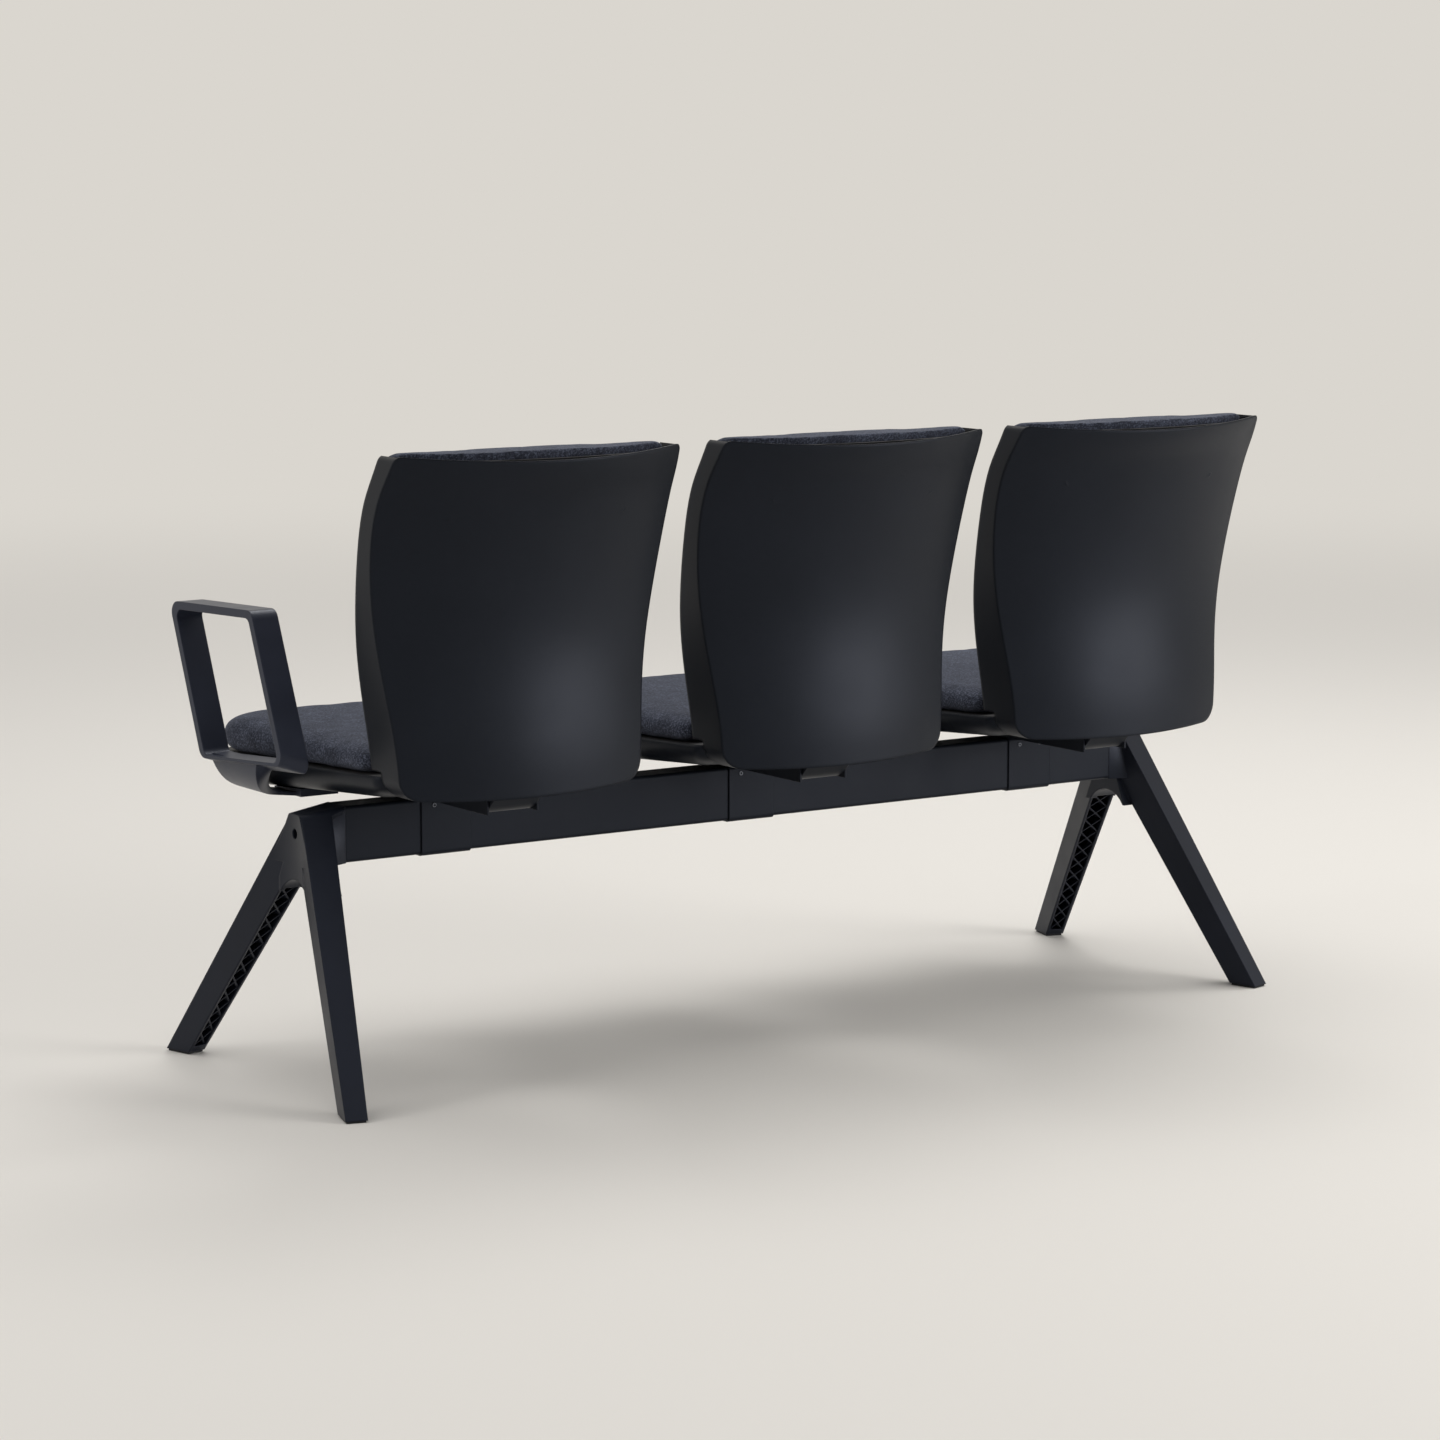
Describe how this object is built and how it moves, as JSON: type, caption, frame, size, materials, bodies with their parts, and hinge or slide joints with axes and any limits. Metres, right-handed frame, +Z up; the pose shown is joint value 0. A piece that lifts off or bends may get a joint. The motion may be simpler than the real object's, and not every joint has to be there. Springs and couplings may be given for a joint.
{
  "type": "beam seating",
  "caption": "Upholstered public seats side by side on one steel beam, with ribbed inverted-V cast legs and loop armrests at the ends.",
  "frame": {"origin": "on the floor, under the middle of the outer box", "axes": "+X along the beam, +Z up; the seats face -Y, so +Y is behind the backs"},
  "size_m": [1.611, 0.6162, 0.876],
  "materials": {
    "upholstery": "woven cloth, dark slate blue-grey, slightly mottled",
    "moulded_shell": "moulded plastic, near black, fine satin grain",
    "coated_steel": "satin black powder coat",
    "coated_casting": "cast aluminium under a satin black powder coat",
    "arm_coating": "cast aluminium under a satin black coat",
    "plywood": "plain plywood, hidden",
    "plain_steel": "plain, hidden",
    "zinc_steel": "dark zinc-plated screws",
    "glide_plastic": "black plastic"
  },
  "bodies": {
    "root": {"beam_tube": "coated_steel", "seat_pan_left": "moulded_shell", "seat_board_left": "plywood", "seat_cushion_left": "upholstery", "beam_sleeve_left": "coated_steel", "set_screws_left": "zinc_steel", "seat_bracket_left": "coated_steel", "seat_screws_left": "zinc_steel", "back_upright_left": "coated_steel", "back_shell_left": "moulded_shell", "back_board_left": "plywood", "back_cushion_left": "upholstery", "back_screws_left": "zinc_steel", "seat_pan_middle": "moulded_shell", "seat_board_middle": "plywood", "seat_cushion_middle": "upholstery", "beam_sleeve_middle": "coated_steel", "set_screws_middle": "zinc_steel", "seat_bracket_middle": "coated_steel", "seat_screws_middle": "zinc_steel", "back_upright_middle": "coated_steel", "back_shell_middle": "moulded_shell", "back_board_middle": "plywood", "back_cushion_middle": "upholstery", "back_screws_middle": "zinc_steel", "seat_pan_right": "moulded_shell", "seat_board_right": "plywood", "seat_cushion_right": "upholstery", "beam_sleeve_right": "coated_steel", "set_screws_right": "zinc_steel", "seat_bracket_right": "coated_steel", "seat_screws_right": "zinc_steel", "back_upright_right": "coated_steel", "back_shell_right": "moulded_shell", "back_board_right": "plywood", "back_cushion_right": "upholstery", "back_screws_right": "zinc_steel", "leg_left": "coated_casting", "leg_right": "coated_casting", "beam_plug_left": "plain_steel", "beam_plug_right": "plain_steel", "leg_bolt_left": "zinc_steel", "leg_bolt_right": "zinc_steel", "foot_glides_left": "glide_plastic", "foot_glides_right": "glide_plastic", "arm_left": "arm_coating", "arm_right": "arm_coating", "arm_screws_left": "zinc_steel", "arm_screws_right": "zinc_steel"}
  },
  "joints": []
}
